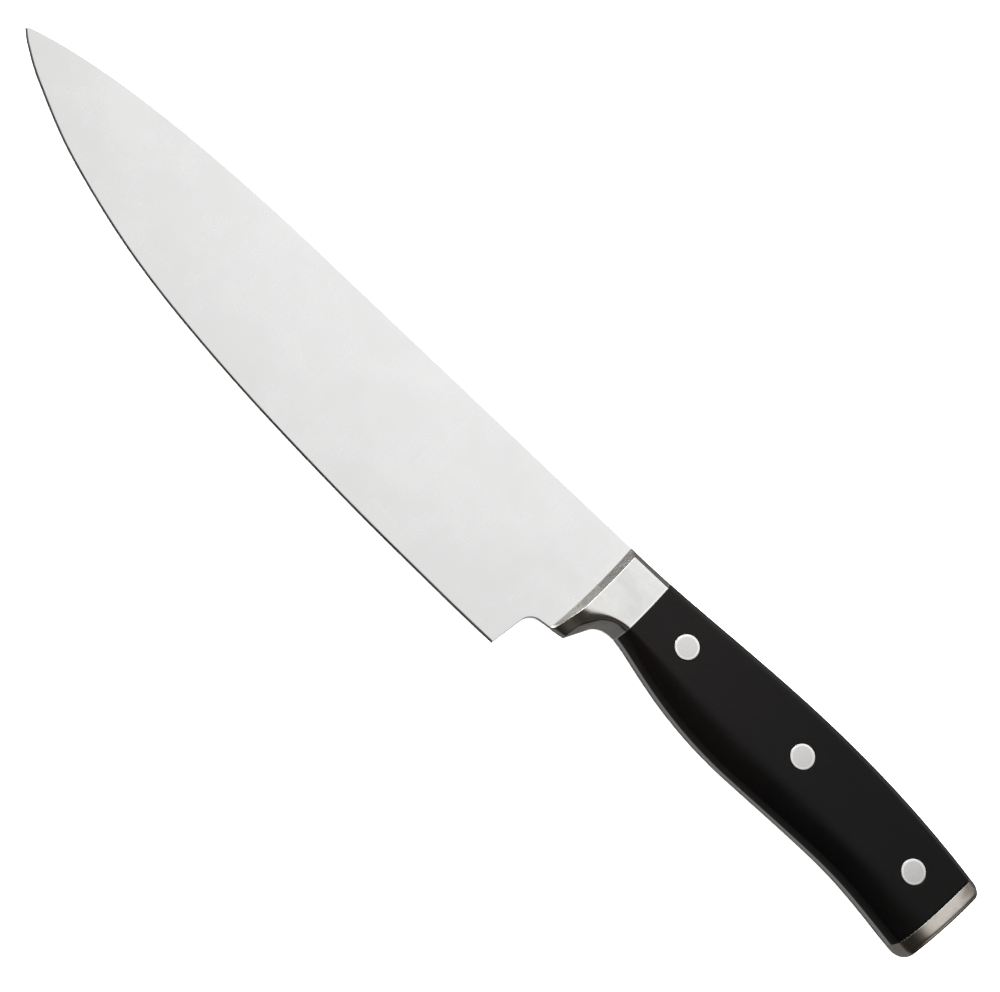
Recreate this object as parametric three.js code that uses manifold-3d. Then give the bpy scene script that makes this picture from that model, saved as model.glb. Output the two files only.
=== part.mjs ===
// Forged chef's knife: one steel forging (blade, half bolster and full tang), two riveted
// handle scales, three two-piece cutler's rivets and a steel end cap.
//
// Millimetres. The knife lies on its side: -X is the tip, +X the butt, +Y the spine,
// -Y the cutting edge, and +Z points out of the side that faces up.
//
// Everything is drawn about a datum where the spine meets the front of the bolster, on the
// knife's middle plane. The whole group is then moved so that the origin is the centre of
// the base of its box, on the surface that it lies on.

import * as THREE from 'three';
import { mergeVertices } from 'three/addons/utils/BufferGeometryUtils.js';
import Module from 'manifold-3d';

// ---------------------------------------------------------------- driving dimensions

const BLADE_LENGTH = 203.5;        // tip to the front of the bolster
const TIP_Y = -10.4;               // the tip's drop below the spine line
const HEEL = [-9.8, -43.1];        // lowest corner of the cutting edge

const SPINE_HALF = 1.25;           // half thickness of the spine at the bolster
const TAPER_TO_TIP = 0.003;        // half thickness lost per mm towards the tip
const TAPER_TO_EDGE = 0.0205;      // half thickness lost per mm towards the edge
const BEVEL_WIDTH = 0.55;          // height of the sharpened bevel
const EDGE_STEPS = 48;

const HANDLE_HALF = 7.8;           // half thickness of bolster, scales and cap
const BELLY_CROWN_RADIUS = 16;     // roundness of the handle's belly band
const BACK_FLAT_HALF = 1.4;        // the back is level this far from the middle plane
const BACK_FALL = 0.42;            // and then falls away in two nearly flat slopes
const BACK_FALL_GROWTH = 0.011;
const BOLSTER_LENGTH = 13.35;
const CREST_WIDTH = 1.75;          // run of the steep face at the bolster's front
const CREST_WIDTH_LOW = 0.85;      // the same at the bolster's lower end
const GUARD_HALF = 1.7;            // half thickness of the bolster's lower end
const BELLY_HALF_FRONT = 4.9;      // half width of the belly band behind the bolster
const BELLY_HALF_REAR = 5.75;      // and at the cap

const TANG_HALF = 1.5;
const FIT_GAP = 0.3;               // room between separate pieces

const HEAD_RADIUS = 3.325;         // rivet head
const HEAD_THICKNESS = 1.5;
const BARREL_RADIUS = 2.3;
const BORE_RADIUS = 1.7;
const STEM_RADIUS = 1.45;
const RIVETS = [[26.7, -10.9], [66.7, -10.9], [106.7, -12.8]];

const CAP_TOP_ROUND = 2.0;
const CAP_BELLY_ROUND = 1.6;
const CAP_EDGE_ROUND = 0.8;
const BUTT_SWELL = 1.4;            // the butt's middle stands this far behind its side edges
const TENON = { low: -20, high: -8, front: 115.5, back: 120.5 };

// ---------------------------------------------------------------- outline curves

const vec2 = (x, y) => new THREE.Vector2(x, y);

// The cutting edge, tip to heel.
const edgeCurve = new THREE.SplineCurve([
  vec2(-BLADE_LENGTH, TIP_Y), vec2(-199.5, -13.45), vec2(-190, -18.7), vec2(-170, -27.0),
  vec2(-140, -34.8), vec2(-105, -39.5), vec2(-65, -42.1), vec2(-30, -43.0), vec2(...HEEL),
]);

// The spine is straight for half its length and then falls to the tip's small nose.
const NOSE = [-202.9, -9.6];
const spineCurve = new THREE.CubicBezierCurve(
  vec2(-105, 0), vec2(-133, 0.19), vec2(-178.4, -1), vec2(...NOSE));

const backCurve = new THREE.CubicBezierCurve(
  vec2(0, -0.05), vec2(33, -0.66), vec2(71.8, 7.38), vec2(126, -2.75));
const bellySwell = vec2(56.4, -26.72);
const bellyFront = new THREE.CubicBezierCurve(
  vec2(11, -20.15), vec2(16.7, -19.57), vec2(30.8, -27.13), bellySwell);
const bellyRear = new THREE.CubicBezierCurve(
  bellySwell, vec2(97.8, -25.6), vec2(90.7, -25.35), vec2(124, -30.25));

// The height of a curve that runs steadily along X, by bisection.
function heightOn(curve, x) {
  const rising = curve.getPoint(1).x > curve.getPoint(0).x;
  let low = 0;
  let high = 1;
  for (let step = 0; step < 40; step++) {
    const middle = (low + high) / 2;
    const before = curve.getPoint(middle).x < x;
    if (before === rising) low = middle;
    else high = middle;
  }
  return curve.getPoint(low).y;
}

const backY = (x) => heightOn(backCurve, x);
const bellyY = (x) => heightOn(x < bellySwell.x ? bellyFront : bellyRear, x);

// The three shallow arcs across the handle: the bolster's front, the joint between bolster
// and scales, and the joint between scales and cap; and the butt's own, rounder one.
const arcLine = (apexX, apexY, radius) => (y) => apexX - (y - apexY) ** 2 / (2 * radius);
const frontLine = arcLine(0, -4.7, 205);
const scaleLine = arcLine(BOLSTER_LENGTH, -4.7, 205);
const CAP_APEX = 120.3;
const capLine = arcLine(CAP_APEX, 19.5, 250);
const buttLine = arcLine(123.75, 8.3, 160);

// The bolster's thin lower end: a straight line climbing gently from the front line.
const GUARD_LOW = -29.85;
const guardLine = (x) => GUARD_LOW + 0.151 * (x - frontLine(GUARD_LOW));

const bladeHalf = (x, y) => SPINE_HALF + TAPER_TO_TIP * x + TAPER_TO_EDGE * y;
const bellyDrop = (z) => BELLY_CROWN_RADIUS - Math.sqrt(BELLY_CROWN_RADIUS ** 2 - z ** 2);
const backDrop = (z) => {
  const out = Math.max(0, z - BACK_FLAT_HALF);
  return out * (BACK_FALL + BACK_FALL_GROWTH * out);
};
const lerp = THREE.MathUtils.lerp;
const range = (count) => Array.from({ length: count + 1 }, (_, i) => i / count);

// Points of the arc that rounds the corner between two straight runs.
function fillet(from, corner, to, radius, steps) {
  const a = from.clone().sub(corner).normalize();
  const b = to.clone().sub(corner).normalize();
  const half = Math.acos(a.dot(b)) / 2;
  const centre = corner.clone().add(a.clone().add(b).normalize().multiplyScalar(radius / Math.sin(half)));
  const first = corner.clone().add(a.multiplyScalar(radius / Math.tan(half))).sub(centre);
  const last = corner.clone().add(b.multiplyScalar(radius / Math.tan(half))).sub(centre);
  const turn = Math.atan2(first.x * last.y - first.y * last.x, first.dot(last));
  return range(steps).map((t) => first.clone().rotateAround(vec2(0, 0), turn * t).add(centre));
}

// ---------------------------------------------------------------- solids

const wasm = await Module();
wasm.setup();

// A closed body between two sheets of points, near and far, whose rows run along the part
// and whose points run from belly to back. Points shared by both sheets are merged.
function shell(near, far) {
  const points = [];
  const known = new Map();
  const triangles = [];
  const indexOf = (p) => {
    const key = [p.x, p.y, p.z].map((value) => Math.round(value * 1e4)).join();
    if (!known.has(key)) {
      known.set(key, points.length / 3);
      points.push(p.x, p.y, p.z);
    }
    return known.get(key);
  };
  const triangle = (a, b, c) => {
    if (a !== b && b !== c && c !== a) triangles.push(a, b, c);
  };
  const quad = (...corners) => {
    const [a, b, c, d] = corners.map(indexOf);
    triangle(a, b, c);
    triangle(a, c, d);
  };
  const rows = near.length - 1;
  const top = near[0].length - 1;
  for (let i = 0; i < rows; i++) {
    for (let j = 0; j < top; j++) {
      quad(near[i][j], near[i + 1][j], near[i + 1][j + 1], near[i][j + 1]);
      quad(far[i][j], far[i][j + 1], far[i + 1][j + 1], far[i + 1][j]);
    }
    quad(far[i][0], far[i + 1][0], near[i + 1][0], near[i][0]);
    quad(near[i][top], near[i + 1][top], far[i + 1][top], far[i][top]);
  }
  for (let j = 0; j < top; j++) {
    quad(far[0][j], near[0][j], near[0][j + 1], far[0][j + 1]);
    quad(near[rows][j], far[rows][j], far[rows][j + 1], near[rows][j + 1]);
  }
  const geometry = new THREE.BufferGeometry();
  geometry.setAttribute('position', new THREE.Float32BufferAttribute(points, 3));
  geometry.setIndex(triangles);
  return geometry;
}

const mirrored = (rows) => rows.map((row) => row.map((p) => new THREE.Vector3(p.x, p.y, -p.z)));
const flattened = (rows, z) => rows.map((row) => row.map((p) => new THREE.Vector3(p.x, p.y, z)));

function toSolid(geometry) {
  const bare = geometry.clone();
  bare.deleteAttribute('normal');
  bare.deleteAttribute('uv');
  const merged = mergeVertices(bare, 1e-4);
  return new wasm.Manifold(new wasm.Mesh({
    numProp: 3,
    vertProperties: Float32Array.from(merged.attributes.position.array),
    triVerts: Uint32Array.from(merged.index.array),
  }));
}

function toGeometry(solid) {
  const mesh = solid.getMesh();
  const geometry = new THREE.BufferGeometry();
  geometry.setAttribute('position', new THREE.Float32BufferAttribute(mesh.vertProperties, 3));
  geometry.setIndex(Array.from(mesh.triVerts));
  geometry.computeVertexNormals();
  return geometry;
}

// A plain round cutter along Z.
function drill([x, y], radius, low, high) {
  const geometry = new THREE.CylinderGeometry(radius, radius, high - low, 32);
  geometry.rotateX(Math.PI / 2);
  geometry.translate(x, y, (low + high) / 2);
  return toSolid(geometry);
}

function box(low, high) {
  const size = high.clone().sub(low);
  const centre = low.clone().add(high).multiplyScalar(0.5);
  const geometry = new THREE.BoxGeometry(size.x, size.y, size.z);
  geometry.translate(centre.x, centre.y, centre.z);
  return toSolid(geometry);
}

// ---------------------------------------------------------------- blade

// The choil: up from the heel, round the notch and along to the bolster's lower end.
function choilPoints() {
  const heelTop = vec2(-8.25, -33.7);
  const corner = vec2(-7.8, -30.7);
  const guard = vec2(frontLine(GUARD_LOW), GUARD_LOW);
  const aboveHeel = vec2(...HEEL).lerp(heelTop, BEVEL_WIDTH / (heelTop.y - HEEL[1]));
  return [aboveHeel, ...fillet(heelTop, corner, guard, 4, 8), guard];
}

// Two flat flanks that thin towards the edge and the tip, closed by the spine, the choil
// and the sharpened bevel.
function bladeSolid() {
  const edge = edgeCurve.getSpacedPoints(EDGE_STEPS);
  const shoulder = edge.map((point, i) => {
    const tangent = edgeCurve.getTangentAt(i / EDGE_STEPS);
    return vec2(point.x - tangent.y * BEVEL_WIDTH, point.y + tangent.x * BEVEL_WIDTH);
  });
  const choil = choilPoints();
  const root = [vec2(3, -28.5), vec2(3, -0.6), vec2(0.6, -0.3)];
  const spine = [vec2(0, backY(0)), ...spineCurve.getSpacedPoints(20)];
  shoulder[0] = vec2(...NOSE);
  shoulder[EDGE_STEPS] = choil[0];
  const flank = [...shoulder, ...choil.slice(1), ...root, ...spine.slice(0, -1)];

  const points = [];
  flank.forEach((p) => points.push(p.x, p.y, bladeHalf(p.x, p.y)));
  flank.forEach((p) => points.push(p.x, p.y, -bladeHalf(p.x, p.y)));
  edge.forEach((p) => points.push(p.x, p.y, 0));
  const far = flank.length;
  const sharp = 2 * flank.length;

  const triangles = [];
  THREE.ShapeUtils.triangulateShape(flank, []).forEach(([a, b, c]) => {
    triangles.push(a, b, c, far + a, far + c, far + b);
  });
  for (let i = 0; i < EDGE_STEPS; i++) {
    triangles.push(i, sharp + i, sharp + i + 1, i, sharp + i + 1, i + 1);
    triangles.push(far + i, sharp + i + 1, sharp + i, far + i, far + i + 1, sharp + i + 1);
  }
  for (let i = EDGE_STEPS; i < flank.length; i++) {
    const next = (i + 1) % flank.length;
    triangles.push(i, far + i, far + next, i, far + next, next);
  }
  triangles.push(0, far, sharp);
  triangles.push(EDGE_STEPS, sharp + EDGE_STEPS, far + EDGE_STEPS);

  const geometry = new THREE.BufferGeometry();
  geometry.setAttribute('position', new THREE.Float32BufferAttribute(points, 3));
  geometry.setIndex(triangles);
  return toSolid(geometry);
}

// ---------------------------------------------------------------- bolster

// The flat side's lower limit: it climbs in a curve over the finger and then runs level.
const SIDE_LOW_FRONT = -21.2;
const SIDE_LOW_REAR = -17.4;
const FINGER_RUN = 11.5;
const GUARD_LENGTH = 2.8;
const BACK_EDGE = -backDrop(HANDLE_HALF);

// The bolster's underside, from the bottom of its front line to the scales: the thin lower
// end, a straight climb and the round finger rest.
function undersidePoints() {
  const climbAngle = THREE.MathUtils.degToRad(61.5);
  const restRadius = 5.7;
  const centre = vec2(11, -25.85);
  const rest = [];
  for (const t of range(8)) {
    const angle = lerp(Math.PI / 2 + climbAngle, Math.PI / 2, t);
    rest.push(vec2(centre.x + restRadius * Math.cos(angle), centre.y + restRadius * Math.sin(angle)));
  }
  const guard = vec2(GUARD_LENGTH, guardLine(GUARD_LENGTH));
  const climb = [0.12, 0.25, 0.4, 0.6, 0.8].map((t) => guard.clone().lerp(rest[0], t));
  return { guard, beyond: [...climb, ...rest] };
}

// How many steps each face takes in a section, from the middle of the belly to the middle of
// the back: the belly band, the flank that leans out to the side, the flat side, the back.
const BELLY_STEPS = 4;
const FLANK_STEPS = 5;
const SIDE_STEPS = 3;
const BACK_STEPS = 6;
const FLANK_END = BELLY_STEPS + FLANK_STEPS;
const steps = (count) => range(count).slice(1);

// The flank swells into the flat side, and a little more fully further back.
const CRISP_FLANK = 2.3;
const ROUND_FLANK = 2.5;
const flankPower = (x) => lerp(CRISP_FLANK, ROUND_FLANK, THREE.MathUtils.smoothstep(x, 13, 40));
const flankRise = (from, to, t, power) => lerp(from, to, 1 - (1 - t) ** power);

// One rib of the bolster's near side, from the middle of the belly to the middle of the back.
function bolsterRib(base, inward, half, sideLow, xOf) {
  const rib = [];
  for (const t of range(BELLY_STEPS)) {
    const z = half * t;
    const drop = bellyDrop(z);
    rib.push(new THREE.Vector3(base.x + inward.x * drop, base.y + inward.y * drop, z));
  }
  const corner = rib[BELLY_STEPS];
  for (const t of steps(FLANK_STEPS)) {
    const y = lerp(corner.y, sideLow, t);
    const x = lerp(corner.x, xOf(sideLow, HANDLE_HALF), t);
    rib.push(new THREE.Vector3(x, y, flankRise(half, HANDLE_HALF, t, CRISP_FLANK)));
  }
  for (const t of steps(SIDE_STEPS)) {
    const y = lerp(sideLow, BACK_EDGE, t);
    rib.push(new THREE.Vector3(xOf(y, HANDLE_HALF), y, HANDLE_HALF));
  }
  for (const t of steps(BACK_STEPS)) {
    const z = HANDLE_HALF * (1 - t);
    const x = xOf(BACK_EDGE, z);
    rib.push(new THREE.Vector3(x, backY(x) - backDrop(z), z));
  }
  return rib;
}

function bolsterRows() {
  const { guard, beyond } = undersidePoints();
  const up = vec2(0, 1);
  const lowerFade = (y) => THREE.MathUtils.clamp((SIDE_LOW_FRONT - y) / (SIDE_LOW_FRONT - guard.y), 0, 1);
  const crestX = (y, z) => {
    const width = lerp(CREST_WIDTH, CREST_WIDTH_LOW, lowerFade(y));
    const overBack = y > BACK_EDGE - 0.01;
    const rise = overBack ? (z - SPINE_HALF) / (HANDLE_HALF - SPINE_HALF) : 1;
    return frontLine(y) + width * Math.max(rise, 0);
  };
  const crestFoot = frontLine(GUARD_LOW) + CREST_WIDTH_LOW;
  const crestBase = vec2(crestFoot, guardLine(crestFoot));
  const crest = bolsterRib(crestBase, up, GUARD_HALF, SIDE_LOW_FRONT, crestX);
  crest.forEach((p, j) => {
    if (j >= BELLY_STEPS && j < FLANK_END) p.x = crestX(p.y, p.z);
  });
  // The front row is sunk in the blade, so that the two solids join cleanly.
  const sunk = 0.05;
  const front = crest.map((p, j) => {
    const x = frontLine(p.y) - sunk;
    const y = j > BELLY_STEPS ? p.y - sunk / 2 : guardLine(x) + sunk / 2;
    return new THREE.Vector3(x, y, Math.min(p.z, 0.85 * bladeHalf(x, y)));
  });

  const rows = [front, crest];
  const sideLow = (x) => {
    const left = Math.max(0, 1 - (x - crest[FLANK_END].x) / FINGER_RUN);
    return SIDE_LOW_REAR + (SIDE_LOW_FRONT - SIDE_LOW_REAR) * left ** 1.6;
  };
  // Ribs fan out along the flat side while their feet follow the underside.
  const feet = [crestBase.clone().lerp(guard, 0.5), guard, ...beyond];
  // The underside widens all the way from the thin lower end to the scales.
  const climbed = [0, 0];
  for (let i = 2; i < feet.length; i++) climbed.push(climbed[i - 1] + feet[i].distanceTo(feet[i - 1]));
  const halfAt = (i) => lerp(
    GUARD_HALF, BELLY_HALF_FRONT, (climbed[i] / climbed[feet.length - 1]) ** 2.4);
  feet.forEach((foot, i) => {
    const t = (i + 1) / feet.length;
    const xOf = (y, z) => lerp(crestX(y, z), scaleLine(y), t);
    const low = sideLow(xOf(SIDE_LOW_REAR, HANDLE_HALF));
    const ahead = feet[Math.min(i + 1, feet.length - 1)];
    const behind = i < 2 ? crestBase : feet[i - 1];
    const along = ahead.clone().sub(behind).normalize();
    const inward = i < 2 ? up : vec2(-along.y, along.x);
    rows.push(bolsterRib(foot, inward, halfAt(i), low, xOf));
  });
  const last = rows[rows.length - 1];
  last.forEach((p) => {
    p.x = scaleLine(p.y);
  });
  return rows;
}

// ---------------------------------------------------------------- handle behind the bolster

const SIDE_LOW_BUTT = -17.4;
const AXIS_Y = -15;
const alongGrip = (x) => Math.max(0, (x - BOLSTER_LENGTH) / (CAP_APEX - BOLSTER_LENGTH));
const sideLowAt = (x) => lerp(SIDE_LOW_REAR, SIDE_LOW_BUTT, alongGrip(x) ** 1.4);
const bellyHalfAt = (x) => lerp(BELLY_HALF_FRONT, BELLY_HALF_REAR, alongGrip(x));

// One station of the near side, from the belly to the back, starting at height zStart above
// the middle plane. The rounds take the section in at the butt's corners and edges.
function handleStation(stationX, zStart, topRound = 0, bellyRound = 0, sideRound = 0) {
  const settle = (height) => {
    let y = AXIS_Y;
    for (let step = 0; step < 30; step++) y = height(stationX(y));
    return y;
  };
  const back = settle(backY) - topRound;
  const belly = settle(bellyY) + bellyRound;
  const x = stationX(AXIS_Y);
  const side = HANDLE_HALF - sideRound;
  const half = bellyHalfAt(x) - sideRound;
  const low = Math.max(sideLowAt(x), belly + bellyDrop(half) + 1);
  const points = [];
  const add = (y, z) => points.push(new THREE.Vector3(stationX(y), y, z));
  for (const t of range(BELLY_STEPS)) {
    const z = lerp(zStart, half, t);
    add(belly + bellyDrop(z), z);
  }
  const corner = belly + bellyDrop(half);
  for (const t of steps(FLANK_STEPS)) {
    add(lerp(corner, low, t), flankRise(half, side, t, flankPower(x)));
  }
  for (const t of steps(SIDE_STEPS)) add(lerp(low, back - backDrop(side), t), side);
  for (const t of steps(BACK_STEPS)) {
    const z = lerp(side, zStart, t);
    add(back - backDrop(z), z);
  }
  return points;
}

function handleRows(fromLine, toLine, stations, zStart) {
  return range(stations).map((t) => handleStation((y) => lerp(fromLine(y), toLine(y), t), zStart));
}

const shifted = (line, distance) => (y) => line(y) + distance;

// The tang: the full outline of the handle in a flat bar, with its root inside the bolster
// and a tenon at its end for the cap.
function tangSolid() {
  const slice = (stationX, inset) => {
    const full = handleStation(stationX, 0);
    const back = full[full.length - 1];
    const levels = [0, TANG_HALF / 2, TANG_HALF];
    const lower = levels.map((z) => [full[0].y + inset + bellyDrop(z), z]);
    const upper = levels.map((z) => [back.y - inset - backDrop(z), z]).reverse();
    return [...lower, ...upper].map(([y, z]) => new THREE.Vector3(stationX(y), y, z));
  };
  const rows = [slice(shifted(scaleLine, -1.5), 0.5)];
  const end = shifted(capLine, -FIT_GAP);
  for (const t of range(20)) rows.push(slice((y) => lerp(scaleLine(y), end(y), t), 0));
  const bar = toSolid(shell(rows, mirrored(rows)));
  const tenon = box(
    new THREE.Vector3(TENON.front, TENON.low, -TANG_HALF),
    new THREE.Vector3(TENON.back, TENON.high, TANG_HALF));
  return bar.add(tenon);
}

function bladeForging() {
  const bolster = bolsterRows();
  let forging = bladeSolid().add(toSolid(shell(bolster, mirrored(bolster)))).add(tangSolid());
  for (const place of RIVETS) {
    forging = forging.subtract(drill(place, BARREL_RADIUS + FIT_GAP, -5, 5));
  }
  return toGeometry(forging);
}

// A scale: the handle's outer shape down to the tang, with a stepped hole for each rivet.
function scale(side) {
  const inner = TANG_HALF + FIT_GAP;
  const outer = handleRows(shifted(scaleLine, FIT_GAP), shifted(capLine, -FIT_GAP), 24, inner);
  const face = flattened(outer, inner);
  const body = side > 0 ? shell(outer, face) : shell(mirrored(face), mirrored(outer));
  let solid = toSolid(body);
  const seat = HANDLE_HALF - HEAD_THICKNESS - FIT_GAP;
  for (const place of RIVETS) {
    const low = side > 0 ? 0 : -HANDLE_HALF - 1;
    const high = side > 0 ? HANDLE_HALF + 1 : 0;
    solid = solid.subtract(drill(place, BARREL_RADIUS + FIT_GAP, low, high));
    const headLow = side > 0 ? seat : -HANDLE_HALF - 1;
    const headHigh = side > 0 ? HANDLE_HALF + 1 : -seat;
    solid = solid.subtract(drill(place, HEAD_RADIUS + FIT_GAP / 2, headLow, headHigh));
  }
  return toGeometry(solid);
}

// The butt's face is domed: its middle is pushed out from its side edges.
function swollen(p, squeeze = 1) {
  const reach = (p.x - capLine(p.y)) / (buttLine(p.y) - capLine(p.y));
  const z = p.z * squeeze;
  const dome = BUTT_SWELL * (1 - (z / HANDLE_HALF) ** 2);
  return new THREE.Vector3(p.x + dome * THREE.MathUtils.clamp(reach, 0, 1) ** 2, p.y, z);
}

// The cap: the last few millimetres of the same shape, rounded at the butt, with a blind
// pocket for the tang's tenon.
function endCap() {
  const quarter = (radius, distance) => {
    const left = Math.max(0, radius - distance);
    return radius - Math.sqrt(radius ** 2 - left ** 2);
  };
  const stations = [handleStation(capLine, 0)];
  for (const distance of [2.8, 2, 1.3, 0.8, 0.45, 0.2, 0.06, 0]) {
    stations.push(handleStation(
      shifted(buttLine, -distance), 0,
      quarter(CAP_TOP_ROUND, distance),
      quarter(CAP_BELLY_ROUND, distance),
      quarter(CAP_EDGE_ROUND, distance)));
  }
  const rows = stations.map((station) => station.map((p) => swollen(p)));
  const last = stations[stations.length - 1];
  for (const squeeze of [0.8, 0.55, 0.3, 0.1]) rows.push(last.map((p) => swollen(p, squeeze)));
  const pocket = box(
    new THREE.Vector3(TENON.front - 2, TENON.low - FIT_GAP, -TANG_HALF - FIT_GAP),
    new THREE.Vector3(TENON.back + FIT_GAP, TENON.high + FIT_GAP, TANG_HALF + FIT_GAP));
  return toGeometry(toSolid(shell(rows, mirrored(rows))).subtract(pocket));
}

// ---------------------------------------------------------------- rivets

// Both halves are turned pieces: the profile is [radius, height above the middle plane].
function turned(profile, [x, y]) {
  const geometry = new THREE.LatheGeometry(profile.map(([r, z]) => vec2(r, z)), 32);
  geometry.rotateX(Math.PI / 2);
  geometry.translate(x, y, 0);
  return toGeometry(toSolid(geometry));
}

const headUnder = HANDLE_HALF - HEAD_THICKNESS;
const barrelMouth = -headUnder + FIT_GAP;
const boreEnd = 4.5;
const stemEnd = 4;

const barrelProfile = [
  [0, boreEnd], [BORE_RADIUS, boreEnd], [BORE_RADIUS, barrelMouth], [BARREL_RADIUS, barrelMouth],
  [BARREL_RADIUS, headUnder], [HEAD_RADIUS, headUnder], [HEAD_RADIUS, HANDLE_HALF],
  [0, HANDLE_HALF],
];
const stemProfile = [
  [0, -HANDLE_HALF], [HEAD_RADIUS, -HANDLE_HALF], [HEAD_RADIUS, -headUnder],
  [STEM_RADIUS, -headUnder], [STEM_RADIUS, stemEnd], [0, stemEnd],
];

// ---------------------------------------------------------------- assembly

const steel = { color: 0xd9d9d8, roughness: 0.32, metalness: 1 };
const rivetSteel = { color: 0xcfcdca, roughness: 0.28, metalness: 1 };
const capSteel = { color: 0xb4aca3, roughness: 0.3, metalness: 1 };
const blackPlastic = { color: 0x171616, roughness: 0.42, metalness: 0 };

const knife = new THREE.Group();

function place(name, geometry, finish) {
  const mesh = new THREE.Mesh(geometry, new THREE.MeshStandardMaterial(finish));
  mesh.name = name;
  knife.add(mesh);
}

place('blade_forging', bladeForging(), steel);
place('scale_upper', scale(1), blackPlastic);
place('scale_lower', scale(-1), blackPlastic);
RIVETS.forEach((spot, i) => {
  place(`rivet_barrel_${i + 1}`, turned(barrelProfile, spot), rivetSteel);
  place(`rivet_stem_${i + 1}`, turned(stemProfile, spot), rivetSteel);
});
place('end_cap', endCap(), capSteel);

// The origin goes to the centre of the base of the knife's box.
const bounds = new THREE.Box3().setFromObject(knife);
const centre = bounds.getCenter(new THREE.Vector3());
knife.position.set(-centre.x, -centre.y, -bounds.min.z);

export default knife;
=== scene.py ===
import functools
import math

import bpy
import numpy as np
from mathutils import Matrix, Vector


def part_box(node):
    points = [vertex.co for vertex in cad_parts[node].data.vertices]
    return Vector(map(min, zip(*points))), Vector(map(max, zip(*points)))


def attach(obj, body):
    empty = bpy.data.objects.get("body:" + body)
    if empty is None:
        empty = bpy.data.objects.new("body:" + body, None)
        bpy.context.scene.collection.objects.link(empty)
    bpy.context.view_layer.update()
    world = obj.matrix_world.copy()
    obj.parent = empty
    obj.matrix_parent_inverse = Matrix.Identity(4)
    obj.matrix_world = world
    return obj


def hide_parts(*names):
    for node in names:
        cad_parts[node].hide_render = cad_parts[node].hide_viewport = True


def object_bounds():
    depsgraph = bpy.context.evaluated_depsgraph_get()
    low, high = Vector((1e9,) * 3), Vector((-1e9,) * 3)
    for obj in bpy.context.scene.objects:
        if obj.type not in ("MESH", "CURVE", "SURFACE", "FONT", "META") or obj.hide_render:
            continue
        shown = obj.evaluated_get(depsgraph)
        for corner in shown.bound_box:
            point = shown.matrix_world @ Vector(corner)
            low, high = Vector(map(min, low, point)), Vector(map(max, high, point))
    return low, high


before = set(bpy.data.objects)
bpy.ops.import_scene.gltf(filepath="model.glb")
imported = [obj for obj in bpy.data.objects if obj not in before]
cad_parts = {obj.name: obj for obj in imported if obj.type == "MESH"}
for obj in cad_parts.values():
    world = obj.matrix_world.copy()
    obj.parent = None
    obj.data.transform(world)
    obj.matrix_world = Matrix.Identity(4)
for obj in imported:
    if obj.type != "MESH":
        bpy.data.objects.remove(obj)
cad_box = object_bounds()

# ---------------------------------------------------------------- driving dimensions, mm

MM = 0.001
BLADE_LENGTH = 203.5        # from the bolster's front to the tip
TIP_Y = -10.4
HEEL = (-9.8, -43.1)
HEEL_TOP = (-8.25, -33.7)
NOTCH = (-7.8, -30.7)       # the corner between heel and guard, before it is rounded
NOTCH_RADIUS = 4
SPINE_HALF = 1.25           # half thickness of the spine beside the bolster
TAPER_TO_TIP = 0.003        # what it loses per millimetre towards the tip
TAPER_TO_EDGE = 0.0176      # and towards the edge
BEVEL_WIDTH = 0.5

HANDLE_HALF = 7.8           # half thickness between the handle's flat sides
BELLY_CROWN = 16.0          # radius across the belly
BACK_FLAT_HALF = 1.4        # the back is flat this far to each side, then falls away
BACK_FALL = 0.42
BACK_FALL_GROWTH = 0.011

BOLSTER_LENGTH = 13.35
BOLSTER_ARC_Y = -4.7        # the arcs at both of its ends stand furthest back here
BOLSTER_ARC_RADIUS = 205
SUNK_SHARE = 0.85           # how thick the bolster's hidden front is beside the blade's flank
CREST_WIDTH = 1.75          # from the front arc back to the crest, where the side starts
CREST_WIDTH_LOW = 0.85
GUARD_HALF = 1.7            # the guard is the bolster's thin lower end
GUARD_LOW = -29.85
GUARD_LENGTH = 2.8
GUARD_SLOPE = 0.151
GUARD_FADE_END = -29.2      # the crest is at its narrowest from here down
SIDE_LOW_FRONT = -21.2      # lower edge of the flat side, at the crest and further back
SIDE_LOW_REAR = -17.4
FINGER_RUN = 11.5           # how far behind the crest the side's lower edge levels out
FINGER_CURVE = 1.6
FINGER_REST = (11.0, -25.85)    # centre of the hollow in the underside
FINGER_RADIUS = 5.7
CLIMB_ANGLE = 61.5          # degrees, of the underside between its lower end and the finger rest
BELLY_GROWTH = 2.4          # how late the underside widens on its way up to the scales
BELLY_HALF_FRONT = 4.9      # half width of the belly, where the scales start and at the cap
BELLY_HALF_REAR = 5.75
CRISP_FLANK = 2.3           # how fully the flank swells into the side, beside the bolster
ROUND_FLANK = 2.5           # and well behind it
FLANK_CHANGE = (13, 40)

TANG_HALF = 1.5
TANG_LAP = 0.35             # how far its front runs on inside the bolster
CAP_APEX = 120.3
BUTT_APEX = 123.75
CAP_TOP_ROUND = 2.0
CAP_BELLY_ROUND = 1.6
CAP_EDGE_ROUND = 0.8
CAP_ROUNDED = 2.6           # length of the cap over which it is rounded
BUTT_SWELL = 1.4            # how far the end face domes out
AXIS_Y = -15.0              # a line across the handle is placed by where it crosses this height

SEAM = 0.03                 # hairline between two pieces
SECTION_EASE = 0.6          # corners along a section are eased over this length
CREST_EASE = 0.45           # and the bolster's crest over this one
BUTT_EASE = 0.5
BOLSTER_END_ROUND = 0.12
SCALE_END_ROUND = 0.12
CAP_END_ROUND = 0.07

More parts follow.
